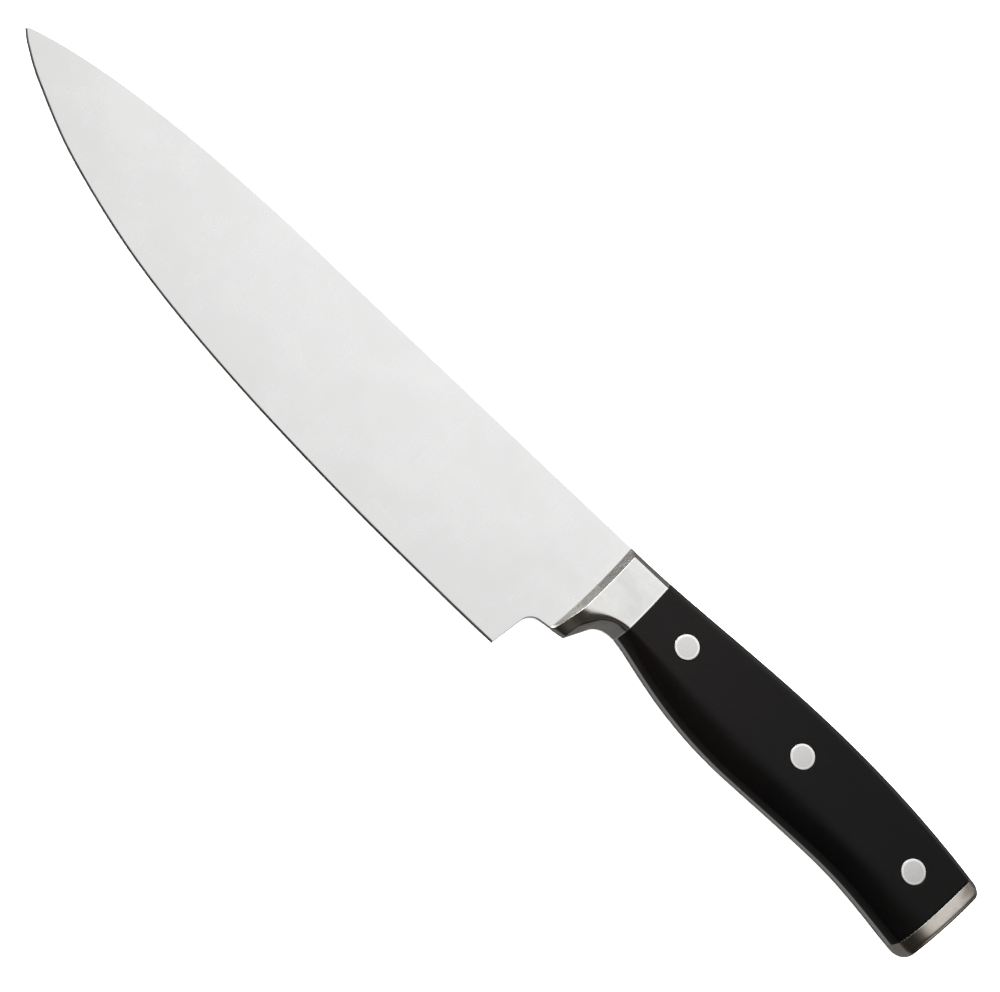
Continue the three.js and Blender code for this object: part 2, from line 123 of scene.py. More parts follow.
HEAD_RADIUS = 3.3
HEAD_THICKNESS = 1.5
HEAD_PROUD = 0.015          # how far the head's rim stands out of the scale
HEAD_CROWN = 0.03
HEAD_RIM_ROUND = 0.13
HOLE_ROOM = 0.11            # dark ring round each head
HOLE_CHAMFER = 0.07
BARREL_RADIUS = 2.3
STEM_RADIUS = 1.45
RIVETS = ((26.7, -10.9), (66.7, -10.9), (106.7, -12.8))

# The CAD's own first rivet says where the datum is in the row frame.
rivet_low, rivet_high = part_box("rivet_barrel_1")
DATUM = np.array((
    (rivet_low.x + rivet_high.x) / 2 - RIVETS[0][0] * MM,
    (rivet_low.y + rivet_high.y) / 2 - RIVETS[0][1] * MM,
    cad_box[0].z + HANDLE_HALF * MM,
))


def to_row(points):
    return np.asarray(points, float) * MM + DATUM


def row_y(y):
    return to_row((0, y, 0))[1]


# ---------------------------------------------------------------- outline curves


def bezier(*control):
    a, b, c, d = (np.array(p, float) for p in control)
    t = np.linspace(0, 1, 1500)[:, None]
    return a * (1 - t) ** 3 + 3 * b * t * (1 - t) ** 2 + 3 * c * t**2 * (1 - t) + d * t**3


def height_on(curve):
    return lambda x: np.interp(x, curve[:, 0], curve[:, 1])


def through(points, per_span=40):
    """A smooth curve through all the points."""
    p = np.array(points, float)
    p = np.vstack([p[:1], p, p[-1:]])
    t = np.linspace(0, 1, per_span, endpoint=False)[:, None]
    spans = []
    for a, b, c, d in zip(p, p[1:], p[2:], p[3:]):
        slope_in, slope_out = (c - a) / 2, (d - b) / 2
        spans.append((2 * b - 2 * c + slope_in + slope_out) * t**3
                     + (3 * c - 3 * b - 2 * slope_in - slope_out) * t**2 + slope_in * t + b)
    return np.vstack(spans + [p[-1:]])


def run_along(line):
    """How far along the line each of its points is."""
    return np.concatenate([[0], np.cumsum(np.linalg.norm(np.diff(line, axis=0), axis=1))])


def even(curve, count):
    """The curve again, as count points an equal distance apart."""
    run = run_along(curve)
    wanted = np.linspace(0, run[-1], count)
    return np.stack([np.interp(wanted, run, curve[:, k]) for k in range(curve.shape[1])], axis=1)


EDGE = through([(-BLADE_LENGTH, TIP_Y), (-199.5, -13.45), (-190, -18.7), (-170, -27.0),
                (-140, -34.8), (-105, -39.5), (-65, -42.1), (-30, -43.0), HEEL])
SPINE = bezier((-105, 0), (-133, 0.19), (-178.4, -1), (-202.9, -9.6))
back_y = height_on(bezier((0, -0.05), (33, -0.66), (71.8, 7.38), (126, -2.75)))
belly_y = height_on(np.vstack([
    bezier((11, -20.15), (16.7, -19.57), (30.8, -27.13), (56.4, -26.72)),
    bezier((56.4, -26.72), (97.8, -25.6), (90.7, -25.35), (124, -30.25))[1:],
]))


def arc_line(apex_x, apex_y, radius):
    return lambda y: apex_x - (y - apex_y) ** 2 / (2 * radius)


# The shallow arcs across the knife: the bolster's front, the joint between bolster and scales,
# and the joint between scales and cap; and the butt's own, rounder one.
front_line = arc_line(0, BOLSTER_ARC_Y, BOLSTER_ARC_RADIUS)
scale_line = arc_line(BOLSTER_LENGTH, BOLSTER_ARC_Y, BOLSTER_ARC_RADIUS)
cap_line = arc_line(CAP_APEX, 19.5, 250)
butt_line = arc_line(BUTT_APEX, 8.3, 160)


def guard_line(x):
    return GUARD_LOW + GUARD_SLOPE * (x - front_line(GUARD_LOW))


def blade_half(x, y):
    """Half the blade's thickness."""
    return SPINE_HALF + TAPER_TO_TIP * x + TAPER_TO_EDGE * y


def belly_drop(z):
    """How far the crowned belly has risen this far from the middle plane."""
    return BELLY_CROWN - np.sqrt(BELLY_CROWN**2 - z**2)


def back_drop(z):
    """How far the back has fallen this far from the middle plane."""
    out = np.maximum(0, z - BACK_FLAT_HALF)
    return out * (BACK_FALL + BACK_FALL_GROWTH * out)


def mix(a, b, t):
    return a + (b - a) * t


def ease(x, low, high):
    t = np.clip((x - low) / (high - low), 0, 1)
    return t * t * (3 - 2 * t)


# ---------------------------------------------------------------- grids of points


def relaxed(line, window, wanted):
    """The line's points at the wanted distances along it, with every corner eased over a
    window of that length. The window closes up towards both ends."""
    steps = np.linalg.norm(np.diff(line, axis=0), axis=1)
    run = np.concatenate([[0], np.cumsum(steps)])
    total = np.vstack([np.zeros(3), np.cumsum((line[1:] + line[:-1]) / 2 * steps[:, None], axis=0)])

    def integral(s):
        i = np.clip(np.searchsorted(run, s, side="right") - 1, 0, len(steps) - 1)
        part = (s - run[i])[:, None]
        length = np.maximum(steps[i], 1e-9)[:, None]
        return total[i] + line[i] * part + (line[i + 1] - line[i]) * part**2 / (2 * length)

    wanted = np.clip(np.asarray(wanted, float), 0, run[-1])
    reach = np.minimum(window / 2, np.minimum(wanted, run[-1] - wanted))
    reach = np.maximum(reach, 1e-4)
    low, high = np.clip(wanted - reach, 0, run[-1]), np.clip(wanted + reach, 0, run[-1])
    return (integral(high) - integral(low)) / (high - low)[:, None]


# A section runs from the middle of the belly over the flank and the side to the middle of the
# back. These are the steps that each face takes as it is drawn, and the points it ends up with.
BELLY, FLANK, SIDE, BACK = 8, 12, 6, 10
FACE_ENDS = (0, BELLY, BELLY + FLANK, BELLY + FLANK + SIDE, BELLY + FLANK + SIDE + BACK)
FACE_POINTS = (16, 22, 16, 22)


def along_section(section):
    """A section resampled so that its points gather at its corners, which are eased."""
    run = run_along(section)
    wanted = []
    for start, end, count in zip(FACE_ENDS, FACE_ENDS[1:], FACE_POINTS):
        t = (1 - np.cos(np.pi * np.arange(count) / count)) / 2
        wanted.extend(mix(run[start], run[end], t))
    wanted.append(run[-1])
    return relaxed(section, SECTION_EASE, wanted)


def grid_normals(grid):
    """The unit normal of a sheet of points at each of them."""
    along = np.gradient(grid, axis=0)
    across = np.gradient(grid, axis=1)
    normal = np.cross(along, across)
    length = np.linalg.norm(normal, axis=2, keepdims=True)
    return normal / np.maximum(length, 1e-12)


def rounded_end(grid, radius, at_start, steps=4):
    """More rows at one end of a grid, turning in over a small radius."""
    rows = grid if at_start else grid[::-1]
    inward = -grid_normals(grid)
    inward = inward if at_start else inward[::-1]
    direction = rows[1] - rows[0]
    direction /= np.linalg.norm(direction, axis=1, keepdims=True)
    new = []
    for k in range(steps):
        angle = math.pi / 2 * k / steps
        new.append(rows[0] + direction * radius * (1 - math.cos(angle))
                   + inward[1] * radius * (1 - math.sin(angle)))
    first = rows[0] + direction * radius
    reach = np.linalg.norm(rows - rows[0], axis=2).min(axis=1)
    keep = rows[reach > radius * 1.6]
    result = np.concatenate([np.array(new), first[None], keep])
    return result if at_start else result[::-1]


def mirrored(grid):
    return grid * np.array((1, 1, -1))


def flattened(grid, z):
    """The same sheet of points pressed flat at one height."""
    flat = grid.copy()
    flat[..., 2] = z
    return flat


SHARP = 40      # degrees between two faces from which their edge is drawn sharp


def shell(name, near, far):
    """A closed piece between two sheets of points. Points that both share are merged."""
    n, f = np.arange(near[..., 0].size * 2).reshape(2, *near.shape[:2])
    quads = []

    def add(a, b, c, d):
        quads.append(np.stack([a.ravel(), b.ravel(), c.ravel(), d.ravel()], axis=1))

    add(n[:-1, :-1], n[1:, :-1], n[1:, 1:], n[:-1, 1:])
    add(f[:-1, :-1], f[:-1, 1:], f[1:, 1:], f[1:, :-1])
    add(f[:-1, 0], f[1:, 0], n[1:, 0], n[:-1, 0])
    add(n[:-1, -1], n[1:, -1], f[1:, -1], f[:-1, -1])
    add(f[0, :-1], n[0, :-1], n[0, 1:], f[0, 1:])
    add(n[-1, :-1], f[-1, :-1], f[-1, 1:], n[-1, 1:])
    points = np.concatenate([near.reshape(-1, 3), far.reshape(-1, 3)])
    return merged_piece(name, points, np.concatenate(quads).tolist())


def without_repeats(corners):
    return [c for k, c in enumerate(corners) if c != corners[k - 1]]


def merged_piece(name, points, faces, sharp=SHARP):
    """A piece whose coinciding points are merged, without the faces that close up by it."""
    keys = np.round(points * 1e4).astype(np.int64)
    _, first, index = np.unique(keys, axis=0, return_index=True, return_inverse=True)
    index = index.ravel().tolist()
    kept = []
    for face in faces:
        corners = without_repeats([index[v] for v in face])
        if len(set(corners)) == len(corners) >= 3:
            kept.append(corners)
    return piece(name, points[first], kept, sharp)


def piece(name, points, faces, sharp=SHARP):
    """A mesh object, still in millimetres."""
    mesh = bpy.data.meshes.new(name)
    mesh.from_pydata(np.asarray(points, float).tolist(), [], faces)
    mesh.validate()
    mesh.shade_smooth()
    mesh.set_sharp_from_angle(angle=math.radians(sharp))
    obj = bpy.data.objects.new(name, mesh)
    bpy.context.scene.collection.objects.link(obj)
    return obj


# ---------------------------------------------------------------- blade


def fillet(start, corner, end, radius, steps):
    """The arc that rounds a corner between two straight lines."""
    start, corner, end = (np.array(p, float) for p in (start, corner, end))
    a = (start - corner) / np.linalg.norm(start - corner)
    b = (end - corner) / np.linalg.norm(end - corner)
    half = math.acos(float(a @ b)) / 2
    centre = corner + (a + b) / np.linalg.norm(a + b) * radius / math.sin(half)
    first = corner + a * radius / math.tan(half) - centre
    last = corner + b * radius / math.tan(half) - centre
    turn = math.atan2(first[0] * last[1] - first[1] * last[0], float(first @ last))
    angles = np.linspace(0, turn, steps)
    return np.array([
        (centre[0] + first[0] * math.cos(t) - first[1] * math.sin(t),
         centre[1] + first[0] * math.sin(t) + first[1] * math.cos(t)) for t in angles])


def outline_normals(outline):
    """Which way is inwards at each point of a closed outline."""
    tangent = np.roll(outline, -1, axis=0) - np.roll(outline, 1, axis=0)
    tangent /= np.linalg.norm(tangent, axis=1, keepdims=True)
    return np.stack([-tangent[:, 1], tangent[:, 0]], axis=1)


# Rings from the outline inwards: how far in and how high each is on the bevel, in shares of the
# bevel, and how far the softly broken edge of the spine and the choil has turned. The last ring
# lies wholly on the flat flank.
BEVEL_RINGS = (0.0, 0.5, 0.92, 1.0, 1.1, 1.5)
BEVEL_SHARES = (0.0, 0.5, 0.92, 0.98, 1.0, 1.0)
BROKEN_TURNS = (0, 30, 60, 80, 90, 90)
BROKEN_INSETS = (0.0, 0.02, 0.08, 0.13, 0.16, 0.3)
BROKEN_EDGE = 0.16
BLADE_SHARP = 12    # degrees, low enough to keep the line between flank and bevel crisp


def blade_rings():
    """The flat flanks, the sharpened bevel along the edge, and softly broken edges along the
    spine and the choil, as rings of points running in from the blade's outline."""
    edge = even(EDGE, 260)
    guard = (front_line(GUARD_LOW), GUARD_LOW)
    rise = even(np.array([HEEL, HEEL_TOP]), 24)[1:-1]
    notch_arc = fillet(HEEL_TOP, NOTCH, guard, NOTCH_RADIUS, 20)
    to_guard = even(np.array([notch_arc[-1], guard]), 8)[1:]
    root = np.array([(3, -28.5), (3, -0.6), (0.6, -0.3)])
    spine_flat = even(np.array([(0, -0.05), (-105, 0)]), 60)[:-1]
    spine_fall = even(SPINE, 90)
    outline = np.vstack([edge, rise, notch_arc, to_guard, root, spine_flat, spine_fall])
    inward = outline_normals(outline)
    on_edge = np.arange(len(outline)) < len(edge)
    rings = []
    for depth, share, turn, broken in zip(BEVEL_RINGS, BEVEL_SHARES, BROKEN_TURNS, BROKEN_INSETS):
        inset = np.where(on_edge, depth * BEVEL_WIDTH, broken)
        p = outline + inward * inset[:, None]
        half = blade_half(p[:, 0], p[:, 1])
        fallen = BROKEN_EDGE * (1 - math.sin(math.radians(turn)))
        z = np.where(on_edge, half * share, half - fallen)
        rings.append(np.column_stack([p, z]))
    return rings


def make_blade():
    """Both sides of the blade, closed along its outline."""
    rings = blade_rings()
    ring_count, count = len(rings), len(rings[0])
    points = np.vstack(rings + [mirrored(ring) for ring in rings])
    faces = []

    def add(face, flip):
        faces.append(face[::-1] if flip else face)

    for side in range(2):
        base = side * ring_count * count
        for r in range(ring_count - 1):
            a, b = base + r * count, base + (r + 1) * count
            for i in range(count):
                j = (i + 1) % count
                add([a + i, a + j, b + j, b + i], flip=side == 1)
        innermost = base + (ring_count - 1) * count
        add(list(range(innermost, innermost + count)), flip=side == 1)
    far = ring_count * count
    for i in range(count):
        j = (i + 1) % count
        faces.append([far + i, far + j, j, i])
    blade = merged_piece("blade", points, faces, BLADE_SHARP)
    for polygon in blade.data.polygons:
        if len(polygon.vertices) > 4:
            polygon.use_smooth = False
    return blade


# ---------------------------------------------------------------- bolster


BACK_EDGE = -float(back_drop(HANDLE_HALF))


def bolster_rib(base, inward, half, side_low, x_of):
    """One rib from the middle of the belly, over the flank and the side, to the back."""
    rib = []
    for t in np.linspace(0, 1, BELLY + 1):
        drop = belly_drop(half * t)
        rib.append((base[0] + inward[0] * drop, base[1] + inward[1] * drop, half * t))
    corner = rib[-1]
    side_x = x_of(side_low, HANDLE_HALF)
    for t in np.linspace(0, 1, FLANK + 1)[1:]:
        rise = mix(half, HANDLE_HALF, 1 - (1 - t) ** CRISP_FLANK)
        rib.append((mix(corner[0], side_x, t), mix(corner[1], side_low, t), rise))
    for t in np.linspace(0, 1, SIDE + 1)[1:]:
        y = mix(side_low, BACK_EDGE, t)
        rib.append((x_of(y, HANDLE_HALF), y, HANDLE_HALF))
    levels = np.linspace(HANDLE_HALF, BACK_FLAT_HALF, BACK - 1)[1:]
    for z in [*levels, BACK_FLAT_HALF / 2, 0]:
        x = x_of(BACK_EDGE, z)
        rib.append((x, back_y(x) - back_drop(z), z))
    return np.array(rib)


def crest_x(y, z):
    """The crest where the front face meets the side: it narrows towards the guard's lower end."""
    fade = np.clip((SIDE_LOW_FRONT - y) / (SIDE_LOW_FRONT - GUARD_FADE_END), 0, 1)
    width = mix(CREST_WIDTH, CREST_WIDTH_LOW, fade)
    rise = (z - SPINE_HALF) / (HANDLE_HALF - SPINE_HALF) if y > BACK_EDGE - 0.01 else 1
    return front_line(y) + width * max(rise, 0)


def underside():
    """The path of the ribs' feet: the thin lower end, a straight climb, the finger rest."""
    guard = np.array((GUARD_LENGTH, guard_line(GUARD_LENGTH)))
    angles = np.radians(np.linspace(90 + CLIMB_ANGLE, 90, 22))
    rest = FINGER_REST + FINGER_RADIUS * np.column_stack([np.cos(angles), np.sin(angles)])
    foot = front_line(GUARD_LOW) + CREST_WIDTH_LOW
    crest_base = np.array((foot, guard_line(foot)))
    lip = mix(crest_base, guard, np.linspace(0, 1, 8)[1:, None])
    climb = mix(guard, rest[0], np.linspace(0, 1, 14)[1:-1, None])
    top = FINGER_REST[1] + FINGER_RADIUS + 0.05
    path = np.vstack([lip, climb, rest, [(scale_line(top), top)]])
    return crest_base, path, len(lip) - 1


def fanned(t):
    """The ribs' own x: from the crest's line at t = 0 to the scales' at t = 1."""
    return lambda y, z: mix(crest_x(y, z), scale_line(y), t)


def raw_bolster():
    """The bolster's ribs as drawn, from its sunk front to the scales, and the crest's row."""
    crest_base, feet, guard_at = underside()
    up = np.array((0.0, 1.0))
    crest = bolster_rib(crest_base, up, GUARD_HALF, SIDE_LOW_FRONT, crest_x)
    for j in range(BELLY, BELLY + FLANK):
        crest[j, 0] = crest_x(crest[j, 1], crest[j, 2])
    front = crest.copy()
    front[:, 0] = front_line(crest[:, 1]) - 0.05
    front[:BELLY + 1, 1] = guard_line(front[:BELLY + 1, 0]) + 0.02
    front[:, 2] = np.minimum(crest[:, 2], SUNK_SHARE * blade_half(front[:, 0], front[:, 1]))

    crest_side_x = crest[BELLY + FLANK, 0]
    path = np.vstack([[crest_base], feet])
    rows = [front] + [mix(front, crest, t) for t in (0.25, 0.5, 0.75)] + [crest]
    crest_at = len(rows) - 1
    climb = run_along(feet[guard_at:])
    climbed = np.concatenate([np.zeros(guard_at), climb / climb[-1]])
    for i, foot in enumerate(feet):
        x_of = fanned((i + 1) / len(feet))
        left = max(0, 1 - (x_of(SIDE_LOW_REAR, HANDLE_HALF) - crest_side_x) / FINGER_RUN)
        low = SIDE_LOW_REAR + (SIDE_LOW_FRONT - SIDE_LOW_REAR) * left**FINGER_CURVE
        half = mix(GUARD_HALF, BELLY_HALF_FRONT, climbed[i] ** BELLY_GROWTH)
        ahead = path[min(i + 2, len(path) - 1)] - path[i]
        ahead /= np.linalg.norm(ahead)
        inward = up if i < guard_at else np.array((-ahead[1], ahead[0]))
        rows.append(bolster_rib(foot, inward, half, low, x_of))
    rows[-1][:, 0] = scale_line(rows[-1][:, 1])
    return np.array(rows), crest_at


def make_bolster():
    """The bolster, with its points gathered along the crest, which is eased."""
    raw, crest_at = raw_bolster()
    ribs = np.array([along_section(rib) for rib in raw])
    ahead_of_crest = np.array((0.04, 0.1, 0.18, 0.28, 0.4))
    around_crest = np.concatenate([-ahead_of_crest[::-1], ahead_of_crest])
    columns = []
    for j in range(ribs.shape[1]):
        line = ribs[:, j]
        run = run_along(line)
        ridge, end = run[crest_at], run[-1]
        near = around_crest * min(1, ridge / 0.9)
        before = np.linspace(0, ridge + near[0], 8)[:-1]
        t = np.linspace(0, 1, 64)[1:]
        after = mix(ridge + near[-1], end, t**1.15)
        columns.append(relaxed(line, CREST_EASE, np.concatenate([before, ridge + near, after])))
    grid = np.array(columns).transpose(1, 0, 2)
    grid[-1, :, 0] -= SEAM / 2
    grid = rounded_end(grid, BOLSTER_END_ROUND, at_start=False)
    grid[:, (0, -1), 2] = 0
    return shell("bolster", grid, mirrored(grid))


# ---------------------------------------------------------------- handle


def along_grip(x):
    """0 at the bolster's rear edge, 1 at the cap."""
    return max(0, (x - BOLSTER_LENGTH) / (CAP_APEX - BOLSTER_LENGTH))


def settle(height, station):
    """The height at which a station line meets the back or the belly."""
    y = AXIS_Y
    for _ in range(30):
        y = float(height(station(y)))
    return y


def section(station, z_start, top_round=0.0, belly_round=0.0, side_round=0.0):
    """One section of the near side of the handle at a station line, belly to back."""
    x = station(AXIS_Y)
    back = settle(back_y, station) - top_round
    belly = settle(belly_y, station) + belly_round
    side = HANDLE_HALF - side_round
    half = mix(BELLY_HALF_FRONT, BELLY_HALF_REAR, along_grip(x)) - side_round
    corner = belly + belly_drop(half)
    low = max(SIDE_LOW_REAR, corner + 1)
    power = mix(CRISP_FLANK, ROUND_FLANK, ease(x, *FLANK_CHANGE))
    yz = [(belly + belly_drop(z), z) for z in np.linspace(z_start, half, BELLY + 1)]
    for t in np.linspace(0, 1, FLANK + 1)[1:]:
        yz.append((mix(corner, low, t), mix(half, side, 1 - (1 - t) ** power)))
    top = back - back_drop(side)
    yz += [(mix(low, top, t), side) for t in np.linspace(0, 1, SIDE + 1)[1:]]
    ending = max(z_start, BACK_FLAT_HALF)
    levels = np.linspace(side, ending, BACK - 1)[1:]
    levels = np.concatenate([levels, np.linspace(ending, z_start, 3)[1:]])
    yz += [(back - back_drop(z), z) for z in levels]
    return np.array([(station(y), y, z) for y, z in yz])


def between(first, last, count):
    """Station lines spread evenly from the first to the last."""
    def station(t):
        return lambda y: mix(first(y), last(y), t)
    return [station(t) for t in np.linspace(0, 1, count)]


def shifted(line, distance):
    return lambda y: line(y) + distance


def make_scale(name, side):
    """A scale, down to the tang, with a hole for each rivet."""
    inner = TANG_HALF + SEAM
    stations = between(shifted(scale_line, SEAM), shifted(cap_line, -SEAM), 150)
    outer = np.array([along_section(section(station, inner)) for station in stations])
    outer = rounded_end(outer, SCALE_END_ROUND, at_start=True, steps=3)
    outer = rounded_end(outer, SCALE_END_ROUND, at_start=False, steps=3)
    outer[..., 2] = np.maximum(outer[..., 2], inner)
    outer[:, (0, -1), 2] = inner
    face = flattened(outer, inner)
    if side > 0:
        obj = shell(name, outer, face)
    else:
        obj = shell(name, mirrored(face), mirrored(outer))
    for spot in RIVETS:
        subtract(obj, rivet_cutter(spot, side))
    obj.data.set_sharp_from_angle(angle=math.radians(SHARP))
    return obj


def make_tang():
    """The bar of the tang, whose edges show between the scales along the belly and the back."""
    stations = between(shifted(scale_line, -TANG_LAP), shifted(cap_line, -SEAM), 150)
    levels = np.linspace(0, TANG_HALF - SEAM / 2, 6)
    rows = []
    for station in stations:
        back, belly = settle(back_y, station), settle(belly_y, station)
        yz = [(belly + belly_drop(z), z) for z in levels]
        yz += [(back - back_drop(z), z) for z in levels[::-1]]
        rows.append([(station(y), y, z) for y, z in yz])
    grid = np.array(rows)
    return shell("tang", grid, mirrored(grid))


def make_cap():
    """The cap, with its corners and edges rounded towards the butt and a domed end face."""
    def quarter(radius, distance):
        left = max(0, radius - distance)
        return radius - math.sqrt(radius**2 - left**2)

    lead = between(shifted(cap_line, SEAM), shifted(butt_line, -CAP_ROUNDED), 10)[:-1]
    rows = [section(station, z_start=0) for station in lead]
    for angle in np.linspace(0, math.pi / 2, 16):
        distance = max(0, CAP_ROUNDED * (1 - math.sin(angle)))
        rows.append(section(
            shifted(butt_line, -distance), 0,
            quarter(CAP_TOP_ROUND, distance),
            quarter(CAP_BELLY_ROUND, distance),
            quarter(CAP_EDGE_ROUND, distance)))
    rows = np.array([along_section(row) for row in rows])

    def swollen(grid, squeeze=1.0):
        start, end = cap_line(grid[..., 1]), butt_line(grid[..., 1])
        reach = np.clip((grid[..., 0] - start) / (end - start), 0, 1)
        out = grid.copy()
        out[..., 2] *= squeeze
        out[..., 0] += BUTT_SWELL * (1 - (out[..., 2] / HANDLE_HALF) ** 2) * reach**2
        return out

    lid = [swollen(rows[-1], squeeze) for squeeze in np.linspace(0.95, 0.05, 12)]
    grid = np.concatenate([swollen(rows), np.array(lid)])
    columns = []
    for j in range(grid.shape[1]):
        line = grid[:, j]
        columns.append(relaxed(line, BUTT_EASE, run_along(line)))
    grid = np.array(columns).transpose(1, 0, 2)
    grid = rounded_end(grid, CAP_END_ROUND, at_start=True, steps=3)
    grid[:, (0, -1), 2] = 0
    return shell("cap", grid, mirrored(grid))


# ---------------------------------------------------------------- rivets


def turned(name, profile, spot, segments=96):
    """A turned piece. The profile is (radius, height) from its axis round to its axis."""
    points, faces, rings = [], [], []
    for radius, z in profile:
        if radius < 1e-6:
            rings.append([len(points)])
            points.append((spot[0], spot[1], z))
            continue
        rings.append(list(range(len(points), len(points) + segments)))
        for k in range(segments):
            angle = 2 * math.pi * k / segments
            across, up = radius * math.cos(angle), radius * math.sin(angle)
            points.append((spot[0] + across, spot[1] + up, z))
    for a, b in zip(rings, rings[1:]):
        for k in range(segments):
            j = (k + 1) % segments
            corners = without_repeats(
                [a[k % len(a)], a[j % len(a)], b[j % len(b)], b[k % len(b)]])
            if len(corners) >= 3:
                faces.append(corners)
    return piece(name, points, faces)


HEAD_UNDER = HANDLE_HALF - HEAD_THICKNESS


def head_profile(side):
    """A rivet's head, flush with the scale, with a slight crown and a rounded rim."""
    top = HANDLE_HALF + HEAD_PROUD
    crown = [(HEAD_RADIUS * t, top + HEAD_CROWN * (1 - t**2)) for t in (0, 0.3, 0.6, 0.85)]
    radius, level = HEAD_RADIUS - HEAD_RIM_ROUND, top - HEAD_RIM_ROUND
    edge = [(radius + HEAD_RIM_ROUND * math.sin(a), level + HEAD_RIM_ROUND * math.cos(a))
            for a in np.linspace(0, math.pi / 2, 6)]
    return [(r, z * side) for r, z in crown + edge + [(HEAD_RADIUS, HEAD_UNDER)]]


def make_rivets():
    """Each rivet's barrel, whose head shows on the upper side, and its stem, on the lower."""
    rivets = []
    for n, spot in enumerate(RIVETS, 1):
        barrel = head_profile(1) + [
            (BARREL_RADIUS, HEAD_UNDER), (BARREL_RADIUS, -HEAD_UNDER), (0, -HEAD_UNDER)]
        stem_end = 0.1 - HEAD_UNDER
        stem = head_profile(-1) + [
            (STEM_RADIUS, -HEAD_UNDER), (STEM_RADIUS, stem_end), (0, stem_end)]
        rivets.append(turned(f"rivet_front_{n}", barrel[::-1], spot))
        rivets.append(turned(f"rivet_back_{n}", stem, spot))
    return rivets


def rivet_cutter(spot, side):
    """The hole for one head, with its mouth's edge broken."""
    wall, mouth = HEAD_RADIUS + HOLE_ROOM, HEAD_RADIUS + HOLE_ROOM + HOLE_CHAMFER
    bore, seat, above = BARREL_RADIUS + 0.1, HEAD_UNDER - 0.1, 0.3
    profile = [(0, TANG_HALF), (bore, TANG_HALF), (bore, seat),
               (wall, seat), (wall, HANDLE_HALF - HOLE_CHAMFER), (mouth, HANDLE_HALF),
               (mouth + above, HANDLE_HALF + above), (0, HANDLE_HALF + above)]
    if side > 0:
        return turned("cutter", profile, spot)
    return turned("cutter", [(r, -z) for r, z in profile][::-1], spot)


def subtract(obj, cutter):
    """Cuts one piece with another, which is used up."""
    modifier = obj.modifiers.new("hole", "BOOLEAN")
    modifier.operation = "DIFFERENCE"
    modifier.solver = "EXACT"
    modifier.object = cutter
    depsgraph = bpy.context.evaluated_depsgraph_get()
    mesh = bpy.data.meshes.new_from_object(obj.evaluated_get(depsgraph))
    obj.modifiers.clear()
    old = obj.data
    obj.data = mesh
    bpy.data.meshes.remove(old)
    spent = cutter.data
    bpy.data.objects.remove(cutter)
    bpy.data.meshes.remove(spent)


# ---------------------------------------------------------------- materials


class Tree:
    """A node tree, with short names for the nodes that it is made of."""

    def __init__(self, tree):
        self.tree = tree

    def add(self, kind, **settings):
        node = self.tree.nodes.new(kind)
        for key, value in settings.items():
            setattr(node, key, value)
        return node

    def link(self, source, target):
        self.tree.links.new(source, target)

    def math(self, operation, *values):
        node = self.add("ShaderNodeMath", operation=operation)
        for socket, value in zip(node.inputs, values):
            if isinstance(value, (int, float)):
                socket.default_value = value
            else:
                self.link(value, socket)
        return node.outputs[0]

    def sum(self, *values):
        return functools.reduce(lambda a, b: self.math("ADD", a, b), values)

    def product(self, *values):
        return functools.reduce(lambda a, b: self.math("MULTIPLY", a, b), values)

    def ranged(self, value, low, high, to_low, to_high, smooth=False):
        """The value's span from low to high, carried over to another span and held there."""
        node = self.add("ShaderNodeMapRange")
        node.interpolation_type = "SMOOTHSTEP" if smooth else "LINEAR"
        for socket, number in zip(("From Min", "From Max", "To Min", "To Max"),
                                  (low, high, to_low, to_high)):
            node.inputs[socket].default_value = number
        self.link(value, node.inputs["Value"])
        return node.outputs["Result"]

    def place(self, coordinates):
        """The x, y and z of a coordinate output."""
        node = self.add("ShaderNodeSeparateXYZ")
        self.link(coordinates, node.inputs[0])
        return node.outputs


# Noise keeps near the middle of its span from 0 to 1. These are the parts that looks use.
BROAD = (0.3, 0.7)
NARROW = (0.35, 0.65)


